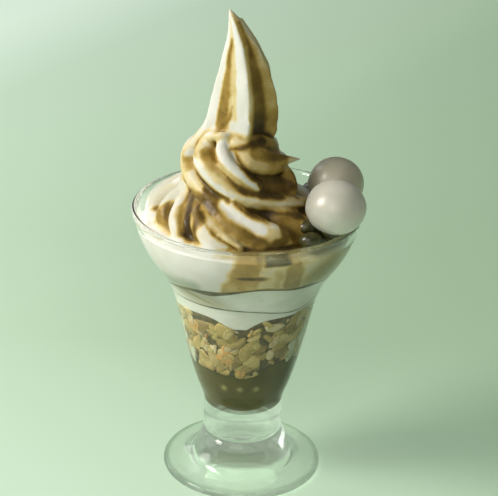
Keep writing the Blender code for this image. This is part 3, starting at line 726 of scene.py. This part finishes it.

# syrup laid on the front, as (angle, height) points, half width in mm and amount; later ones lie on top;
# some of them also paint shade, as noted
syrupStrokes = dict(
    # spireLeft: syrup in the left groove, partly laid on thicker as painted shade
    spireLeft=([(223, 202), (217, 197), (218, 191), (220, 185), (223, 179), (225, 173), (228, 167.5)],
        (0.6, 3.0), 0.74),
    spireFold=([(236, 200), (241, 194), (242, 188), (246, 182), (250, 176), (253, 170.8)],
        (0.3, 1.5), 0.36),
    spirePocket=([(245, 175.5), (244, 171.5), (239, 168.6), (231, 167)], (0.3, 1.0), 0.86),
    tipDark=([(318, 209), (310, 204.5), (303, 200.5), (299, 195)], 0.5, 0.8),
    tipCream=([(350, 208), (346, 205), (340, 201), (338, 196)], 1.2, 0.12),
    spireMiddle=([(266, 199), (263, 191), (264, 183), (268, 175), (272, 168)], (1.0, 1.6), 0.0),
    spireRight=([(287, 200), (281, 195), (279, 187), (279, 179), (281, 171)], 0.5, 0.42),
    leftStripe=([(194, 152.8), (196, 149.5), (205, 147.2)], 1.2, 0.5),
    brightSpeckle=([(230, 156.7), (241, 154.4), (256, 152), (270, 147.8)], 1.3, 0.42),
    brightTop=([(245, 159.8), (257, 156.6), (265.5, 154.3), (274, 151.8), (283, 148.8), (292, 145.7)],
        (2.2, 2.3), 0.0),
    crestFace=([(290, 158.2), (312, 155.7), (335, 155.2)], 2.2, 0.75),
    crestTip=([(336, 151.6), (350, 151.2)], 1.5, 0.22),
    plateEdge=([(270, 158.5), (279, 156.5), (288, 152.5)], 1.1, 0.45),
    # underSpire and underPlate: near-black in the gaps under the overhangs, partly syrup and partly painted
    # shade
    underSpire=([(258.5, 158.9), (272, 160), (290, 161), (306, 161.5)], (0.7, 1.9), 0.97),
    underPlate=([(266, 157.6), (271, 155), (276, 152.8), (282, 150.3), (290, 148.2)], (0.7, 1.5), 0.95),
    rightStrand=([(347, 143.3), (344, 140.5), (335, 137.8)], 2.5, 0.7),
    broadStripe=([(224, 157.4), (246, 151.4), (257, 148.5), (265, 145.7), (277, 141)], 1.0, 0.52),
    broadCream=([(197, 153), (224, 152.6), (236, 149.6), (246, 146.8), (255, 144.3),
        (264, 141.8)], 1.6, 0.07),
    # backLobe: painted shade, laid on as a light glaze
    backLobe=([(150, 130), (166, 130), (182, 131), (198, 136)], 5.0, 0.13),
    broadSide=([(272, 143.5), (278, 139.5), (292, 136.8), (308, 135.3), (326, 131.6)], 1.8, 0.45),
    # underBright: partly syrup and partly painted shade under the bright strand
    underBright=([(260, 149), (267, 146.4), (274, 144.3), (281, 142.6), (289, 141.2)], (0.4, 2.0), 0.96),
    broadRim=([(262, 143.6), (272, 141.6), (281, 140.9), (291, 139.3), (299, 138.2), (310, 137.1),
        (322, 135.6), (336, 133.8)], (0.8, 1.2), 0.2),
    valleyTop=([(294, 146.4), (307, 145.3), (323, 143.5), (339, 140.4)], 2.4, 0.95),
    valleyMiddle=([(296, 143.8), (313, 141.3), (335, 139.2)], 2.0, 0.9),
    valleyLow=([(292, 142.3), (303, 140.8), (316, 139.2)], 1.4, 0.97),
    brownPatch=([(238, 142.5), (250, 141.2), (260, 139.8)], 1.8, 0.85),
    tanUpper=([(222, 138.8), (237, 139), (251, 138)], 2.0, 0.74),
    tanLower=([(222, 136.4), (236, 136.6), (253, 135.2), (263, 133.6)], 2.4, 0.82),
    tanLobe=([(229, 136), (238, 134.5), (245, 132.2)], 2.0, 0.7),
    farLeft=([(188, 126.4), (195, 127.6), (203, 127.7), (206, 125.1), (211, 122.8), (218, 122.2),
        (223, 121.6)], (1.2, 2.4), 0.74),
    ridgeLeft=([(203, 132.2), (208, 129), (214, 124.6)], 1.0, 0.84),
    ridgeTop=([(209, 134.8), (217, 131.4), (222, 128.8), (230, 122.5)], 1.5, 0.16),
    ridgeRight=([(219, 133.9), (225, 131.2), (229, 128.4), (232, 125.2)], 0.9, 0.66),
    lobeLeft=([(242, 131.2), (242, 127.3), (245, 123.8)], 1.7, 0.8),
    lobeTop=([(249, 131.4), (252, 128.5), (257, 126), (262, 123.6)], (1.0, 2.0), 0.13),
    valleyLeft=([(224, 137), (228, 134.2), (231, 131.6), (234, 128.2), (236, 125), (238, 123.6)],
        (1.2, 1.9), 0.98),
    pool=([(256, 133), (268, 130.7), (281, 127.9), (293, 127.2)], 2.3, 0.76),
    poolLow=([(267, 128.7), (278, 125.8), (286, 125)], 1.6, 0.66),
    bandEnd=([(280, 132), (288, 130), (296, 127.8)], (2.0, 3.2), 0.36),
    bandTop=([(256, 138.4), (264, 136.6), (273, 134.6), (280, 132.8), (286, 131)], (1.2, 2.4), 0.06),
    # broadUnder: partly syrup and partly painted shade on the broad strand's underside
    broadUnder=([(268, 139), (276, 136.8), (284, 135.4), (294, 134.2), (309, 133.5), (320, 132)],
        (0.9, 1.4), 0.95),
    thinStrand=([(239, 136.2), (247, 134.1), (254, 131.9), (261, 129.7), (268, 127.6),
        (274, 125.2)], 0.7, 0.36),
    darkLine=([(236, 135.9), (242, 134.4), (247, 132.7), (253, 130.4), (258, 128.3), (264, 126.4),
        (270, 124)], 0.5, 0.97),
    greyRight=([(302, 131.5), (308, 131.4), (312, 128.9), (315, 127)], 2.2, 0.75),
    olive=([(295, 125.4), (300, 126.5), (301, 129.5), (305, 128), (310, 125)], 2.3, 0.87))
ballShape = dict(front=((36.7, -25.9, 137.9), (12.8, 12.8, 11.3)),  # place and half sizes
                 back=((37.6, -0.4, 137.9), (12.1, 12.1, 11.7)))
# back: darker than the front ball as painted shade; the painted-shade keys darken each ball on the side
# next to the swirl
ballLook = dict(front=(0.60, 0.585, 0.50), back=(0.50, 0.475, 0.365), paintedShadeTo=0.0315, paintedShadeEdge=140.0,
                paintedShadeShare=0.55, paintedShadeTone=0.42)
beanShape = dict(  # a row's angles, count, reach and height; the bed's angles, reach, height and half
    size=(4.9, 3.7, 3.4), rows=[(-50, 38, 6, 41, 125.4), (-42, 34, 4, 33.8, 127)], seed=4,
    bed=(-52, 42, 37.5, 122.4, 3.4), bedSteps=24, dark=(0.024, 0.024, 0.005), light=(0.085, 0.076, 0.020))


def swirlPlace(radius, angle, height):
    lean, narrow = (between(swirlShape[name], height) for name in ("lean", "narrow"))
    return polar(radius, angle, height, lean, narrow)


def sweep(whole, stations, sides):  # a closed tube through (place, outward, along, width, thickness)
    bm = bmesh.new()
    ring = bmesh.ops.create_circle(bm, segments=sides, radius=1)["verts"]
    for vert in ring:  # broad and rather flat on top, as piped cream is
        vert.co.x, vert.co.y = [math.copysign(abs(n) ** swirlShape["flatness"], n) for n in vert.co.xy]
        vert.co.x *= 1 - 0.12 * max(0.0, vert.co.y)
    edges = list({edge for vert in ring for edge in vert.link_edges})
    before = Matrix.Identity(4)
    for number, (place, outward, along, width, thickness) in enumerate(stations):
        across = along.cross(outward).normalized()
        up = across.cross(along).normalized()
        now = Matrix([across * width, up * thickness, along]).transposed().to_4x4()
        now.translation = place
        if number:
            grown = bmesh.ops.extrude_edge_only(bm, edges=edges)["geom"]
            ring = {item for item in grown if isinstance(item, bmesh.types.BMVert)}
            edges = [item for item in grown
                     if isinstance(item, bmesh.types.BMEdge) and ring.issuperset(item.verts)]
        bmesh.ops.transform(bm, matrix=now @ before.inverted(), verts=list(ring))
        before = now
    bmesh.ops.holes_fill(bm, edges=[edge for edge in bm.edges if edge.is_boundary], sides=0)
    joinTo(whole, bm)


def strandStations(plan):
    line = smoothPath(plan.path, 5)
    places, widths = [], []
    for number, (angle, height) in enumerate(line):
        along = number / (len(line) - 1)
        thick = plan.thick[0] + (plan.thick[1] - plan.thick[0]) * along
        nearEnd = abs(2 * along - 1)
        tuck, thin = 0.9 * nearEnd**4, 0.35 * nearEnd**4
        if plan.pointed and along > 0.5:
            tuck, thin = -3.1 * nearEnd**2, 0.85 * nearEnd**2
        reach = between(swirlShape["envelope"], height) - plan.inset - thick * (1 + tuck)
        places.append(swirlPlace(reach, angle, height))
        widths.append(thick * (1 - thin))
    stations = []
    for number, (place, width) in enumerate(zip(places, widths)):
        along = (places[min(number + 1, len(places) - 1)] - places[max(number - 1, 0)]).normalized()
        axis = Vector((between(swirlShape["lean"], place.z), 0, place.z - 14))
        stations.append((place, (place - axis).normalized(), along, width, width * 1.04))
    return stations


def spireMesh():
    shape = spireShape
    line = smoothPath([(radius, height) for height, radius in shape["outline"]], 4)
    bm = turned([(0, shape["outline"][0][0])] + line + [(0, shape["tip"])], shape["columns"])
    ridges = shape["ridges"] + [shape["ridges"][0] + 360]
    for vert in bm.verts:
        radius, angle = vert.co.xy.length * shape["scale"], angleOf(vert.co)
        turn = angle - between(shape["twist"], vert.co.z)
        turn += 360 * (turn < ridges[0])
        turn -= 360 * (turn > ridges[-1])
        share = between([(ridge, number) for number, ridge in enumerate(ridges)], turn) % 1
        radius *= 1 - shape["depth"] * math.sin(math.pi * share) ** 0.85
        vert.co = polar(radius, angle, vert.co.z, between(shape["lean"], vert.co.z))
    return bm


def coreMesh():
    top = [(radius, height) for height, radius in swirlShape["core"]]
    shoulder = [(radius, 2 + number / 10) for number, (_, radius) in enumerate(swirlShape["shoulder"])]
    bm = turned([(0, 0), (1, 0), (1, 1), *shoulder, *top, (0, top[-1][1])], 180)  # up to 3 are steps
    for vert in bm.verts:
        radius, angle = vert.co.xy.length, angleOf(vert.co)
        high = wallCreamTop(angle)
        if vert.co.z > 3:
            vert.co = swirlPlace(radius, angle, vert.co.z)
        elif vert.co.z >= 2:
            rise = swirlShape["shoulder"][round((vert.co.z - 2) * 10)][0]
            vert.co = polar(min(radius, innerRadius(high) + swirlShape["intoWall"]), angle, high + rise)
        else:
            height = high - 4 * (1 - vert.co.z)
            vert.co = polar(radius * (innerRadius(height) + swirlShape["intoWall"]), angle, height)
    return bm


def nearbyGlaze(places):  # syrup laid on by the strand that each point is nearest to
    total, weights = np.zeros(len(places)), np.full(len(places), 1e-9)
    for plan in strandPlans.values():
        stations = strandStations(plan)
        centres = np.array([station[0] for station in stations])
        across = np.array([station[2].cross(station[1]).normalized() for station in stations])
        widths = np.array([station[3] for station in stations])
        near = np.where((np.abs(places - centres.mean(0)) < np.ptp(centres, axis=0) / 2 + 12).all(1))[0]
        if not len(near):
            continue
        away = np.sqrt(np.maximum((places[near] ** 2).sum(1)[:, None] + (centres**2).sum(1)[None]
                                  - 2 * places[near] @ centres.T, 0))
        closest = away.argmin(1)
        side = ((places[near] - centres[closest]) * across[closest]).sum(1) / widths[closest]
        low = np.clip(side * 0.9 + 0.35, 0, 1)
        along = closest / (len(stations) - 1)
        top0, low0, top1, low1 = plan.glaze
        glaze = (top0 + (top1 - top0) * along) * (1 - low) + (low0 + (low1 - low0) * along) * low
        weight = np.exp(-((away[np.arange(len(near)), closest] / widths[closest]) ** 2) * 2.2)
        total[near] += weight * glaze
        weights[near] += weight
    return total / weights


def brushed(amount, strokes, angles, radii, heights, wander):
    for path, halfWidth, strength in strokes.values():
        line = np.array(smoothPath(path, 14))
        first, last = halfWidth if isinstance(halfWidth, tuple) else (halfWidth, halfWidth)
        half = np.linspace(first, last, len(line))
        near = np.where((np.abs(angles - line[:, 0].mean()) < np.ptp(line[:, 0]) / 2 + 25)
                        & (np.abs(heights - line[:, 1].mean()) < np.ptp(line[:, 1]) / 2 + 6))[0]
        along = (angles[near, None] - line[None, :, 0]) * np.radians(radii[near, None])
        away = (np.hypot(along, heights[near, None] - line[None, :, 1]) - half).min(1) + wander[near]
        share = np.clip(0.5 - away / 2.0, 0, 1)
        share = share**2 * (3 - 2 * share)
        amount[near] += (strength - amount[near]) * share
    return amount


wallStains = dict(  # amount, then from, to and soft edge of the angle and of the height
    olive=(0.45, (286, 291, 3), (105, 119, 4)), second=(0.66, (291, 302, 4), (103, 121, 4)),
    brown=(0.66, (272, 280, 5), (119.8, 123.5, 2)), dash=(0.88, (263, 283, 9), (111.8, 114.5, 1.9)))


def syrupAndShadeOnWall(angle, height):  # syrup that has run down inside the glass, as it shows from outside; on the far side partly syrup and partly painted shade, and under the rim a dark patch and a dark line
    wander = 3.5 * noise.noise(Vector((angle / 9, height / 6, 2)))
    turn, drop = angle + wander, 124 - height
    streak = 0.53 * band(turn, 266 - 0.62 * drop, 279 - 0.1 * drop, 4)
    # partly syrup and partly painted shade on the far side
    farSideSyrupAndShade = 0.25 * band(turn, 276, 350, 6) + 0.1 * band(turn, 301, 325, 8)
    # a dark patch, then a dark line, just under the rim at the front
    lens = 0.98 * band(turn, 279, 294, 5) * band(height, 118.8 + 0.1 * wander, 122.3, 1.7)
    under = 0.85 * band(angle, 254, 276, 8) * band(height, 122, 124.4, 0.8)
    low = 0.6 * band(height, 90, secondCreamTop(angle) + 1.3, 1.0) * band(turn, 222, 300, 10)
    rest = [amount * band(turn, *around) * band(height, *up) for amount, around, up in wallStains.values()]
    return max(streak, farSideSyrupAndShade, lens, under, low, 0.02, *rest)


def paintedShadeOnWall(angle, height):  # painted shade: grey green on the wall, over the far side and in a patch just above the second cream
    turn = angle + 4 * noise.noise(Vector((angle / 9, height / 5, 5)))
    patch = 0.6 * band(turn, 205, 241, 6) * band(height - secondCreamTop(angle), -1, 6, 4)
    return max(0.5 * band(turn, 303, 352, 14), 0.2 * band(turn, 278, 350, 8), patch)


def swirlSkin():  # everything that is piped, in one skin
    shape = swirlShape
    bm = coreMesh()
    for plan in strandPlans.values():
        sweep(bm, strandStations(plan), shape["sides"])
    tip = [Vector((across, 1.5, height)) for height, across, _ in spireShape["second"]]
    ways = [(tip[min(n + 1, len(tip) - 1)] - tip[max(n - 1, 0)]).normalized() for n in range(len(tip))]
    sweep(bm, [(place, Vector((0, -1, 0)), way, row[2], row[2])
               for place, way, row in zip(tip, ways, spireShape["second"])], shape["sides"])
    joinTo(bm, spireMesh())
    place, size = shape["backLobe"]
    whole = Matrix.Translation(place) @ Matrix.Diagonal(size).to_4x4()
    bmesh.ops.transform(bm, matrix=whole, verts=unitBall(bm, 32, 20))
    bmesh.ops.recalc_face_normals(bm, faces=bm.faces)
    bm.transform(Matrix.Scale(mm, 4))
    thing = shown("swirl", meshFrom(bm, "swirl"))
    remesh = thing.modifiers.new("oneSkin", "REMESH")
    remesh.mode, remesh.voxel_size = "VOXEL", shape["voxel"] * mm
    mesh = bpy.data.meshes.new_from_object(thing.evaluated_get(bpy.context.evaluated_depsgraph_get()))
    bpy.data.objects.remove(thing)
    places = relaxed(mesh, placesOf(mesh), shape["smoothing"])
    top, tipFrom = places[:, 2].max(), shape["tipFrom"]  # smoothing has shortened the tip
    places[:, 2] += np.clip(places[:, 2] - tipFrom, 0, None) * (spireShape["tip"] - top) / (top - tipFrom)
    setPlaces(mesh, places)
    return mesh, places


def buildSwirl():
    shape = swirlShape
    mesh, places = swirlSkin()
    normals = vectorsOf(mesh, "normal")
    waves = np.array([noise.noise(Vector(place) * 0.22) + 0.5 * noise.noise(Vector(place) * 0.6)
                      for place in places])
    groove = ((relaxed(mesh, places, shape["grooveReach"]) - places) * normals).sum(1)
    wide = ((relaxed(mesh, places, 4 * shape["grooveReach"]) - places) * normals).sum(1)
    places = places + normals * (waves * shape["ripple"])[:, None]
    for centre, size in ballShape.values():  # the cream is pressed in where the rice balls lie
        away = (places - centre) / size
        inside = np.linalg.norm(away, axis=1)
        push = inside < 1.0
        places[push] = np.array(centre) + away[push] / inside[push, None] * size
    reach = np.linalg.norm(places[:, :2], axis=1)
    wall = np.interp(places[:, 2], innerHeights, innerRadii) + shape["intoWall"]
    out = (reach > wall) & (places[:, 2] < glassShape["rimHeight"])
    places[out, :2] *= (wall[out] / reach[out])[:, None]
    setPlaces(mesh, places)
    showMesh(mesh, "softServeSwirl", creamPaint("vanillaSwirl"), "soft_serve")
    height = places[:, 2]
    lean, twist, fade = (np.interp(height, *zip(*spireShape[name]))
                         for name in ("lean", "twist", "glazeFade"))
    angles, turn = anglesOf(places, lean), anglesOf(places)
    onSpire = np.interp((angles - twist) % 360, *zip(*spireShape["glaze"])) * fade
    share = np.clip((height - spireShape["glazeFrom"]) / 3, 0, 1)
    amount = nearbyGlaze(places) * (1 - share) + onSpire * share
    amount += np.clip(groove * 0.85, 0, 0.42) * (1 - 0.6 * share)  # more syrup in the grooves, which darkens the creases partly as painted shade
    # broad hollows darker as well: partly syrup and partly painted shade
    amount += np.clip(wide * 0.25, 0, 0.35) * (1 - share)
    radii = np.hypot(places[:, 0] - lean, places[:, 1])
    amount = brushed(amount, syrupStrokes, angles, radii, height, waves * 0.45)
    atWall = np.clip((reach - shape["wallReach"]) / 3, 0, 1)
    atWall *= np.clip((shape["wallTop"] - height) / 1.5, 0, 1)
    shade = np.zeros(len(places))
    for number in np.where(atWall > 0)[0]:
        amount[number] += (syrupAndShadeOnWall(turn[number], height[number]) - amount[number]) * atWall[number]
        shade[number] = paintedShadeOnWall(turn[number], height[number]) * atWall[number]
    # painted shade on the back lobe, grey green like that on the wall
    lobe = dict(lobe=(*syrupStrokes["backLobe"][:2], 0.2))
    shade = brushed(shade, lobe, angles, radii, height, waves)
    write(mesh, "shade", shade)
    write(mesh, "syrup", amount)
    print("swirl:", len(mesh.polygons), "faces")


def buildBowlCream():
    bm = layerMesh(secondCreamTop, wallCreamTop, 56, layerShape["wallCreamIn"])
    piece = pieceFrom(bm, "softServeBowl", creamPaint("bowlCream"))
    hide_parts("soft_serve")
    paintByPlace(piece, "syrup", syrupAndShadeOnWall)
    paintByPlace(piece, "shade", paintedShadeOnWall)


def buildBalls():
    for name, (centre, size) in ballShape.items():
        paint = Paint(name + "RiceDough", 0.38, {"Coat Weight": 0.25, "Coat Roughness": 0.25},
                      (0.7, 0.007, (1.0, 0.85, 0.6)))
        pale = Vector(ballLook[name])
        dough = paint.ramp(paint.grain(55.0), (0.3, pale * 0.86), (0.65, pale))
        paintedShadeSide = ((ballLook["paintedShadeTo"] - paint.axis("X")) * ballLook["paintedShadeEdge"]).clamped()
        paintedShadeSide *= ballLook["paintedShadeShare"]  # painted shade on the side next to the swirl
        paint.colour(paint.blend(paintedShadeSide, dough, (*(pale * ballLook["paintedShadeTone"]), 1)))
        paint.relief(paint.grain(240.0, 4.0), 0.0003, 0.4)
        bm = bmesh.new()
        for vert in unitBall(bm, 64, 40):
            lump = 1 - 0.025 * abs(noise.noise(vert.co * 1.3 + Vector(centre)))
            vert.co = Vector(centre) + Vector([a * b * lump for a, b in zip(vert.co, size)])
        pieceFrom(bm, "riceBall" + name.capitalize(), paint, "rice_ball_" + name)


def buildBeans():
    paint = Paint("glazedBean", 0.36, {"Coat Weight": 0.14, "Coat Roughness": 0.15}, (0.1, 0.001))
    paint.colour(paint.ramp(paint.grain(180.0), (0.3, beanShape["dark"]), (0.7, beanShape["light"])))
    paint.relief(paint.grain(600.0), 0.0002, 0.4)
    draw = random.Random(beanShape["seed"])
    bm = bmesh.new()
    for first, last, count, reach, height in beanShape["rows"]:
        for number in range(count):
            angle = first + (last - first) * number / (count - 1)
            centre = polar(reach, angle, height + draw.uniform(-0.5, 0.5))
            turn = Euler([math.radians(d) for d in (draw.uniform(-25, 25), draw.uniform(-25, 25),
                                                    angle + 90 + draw.uniform(-30, 30))]).to_matrix()
            for vert in unitBall(bm, 28, 18):
                bend = 0.14 * (1 - vert.co.x * vert.co.x)
                shaped = Vector((vert.co.x, vert.co.y * (1 - 0.12 * vert.co.x) - bend, vert.co.z))
                vert.co = centre + turn @ Vector([a * b for a, b in zip(shaped, beanShape["size"])])
    first, last, reach, height, thickness = beanShape["bed"]
    stations, up, steps = [], Vector((0, 0, 1)), beanShape["bedSteps"]
    for step in range(steps + 1):
        angle = first + (last - first) * step / steps
        wobble = 1 + 0.25 * noise.noise(Vector((angle / 9, 0, 3)))
        place, along = polar(reach, angle, height), polar(1, angle + 90, 0)
        stations.append((place, up, along, thickness * 1.1, thickness * wobble))
    sweep(bm, stations, 16)
    pieceFrom(bm, "sweetBeans", paint, "sweet_beans")


addCamera()
for name, look in lights.items():
    addLight(name, look)
addStage()
print("stage ready")
buildGlass()
print("glass ready")
buildJelly()
buildCereal()
buildSmears()
buildCreams()
buildSauceLines()
print("layers ready")
buildSwirl()
buildBowlCream()
print("soft serve ready")
buildBalls()
buildBeans()
print("toppings ready")
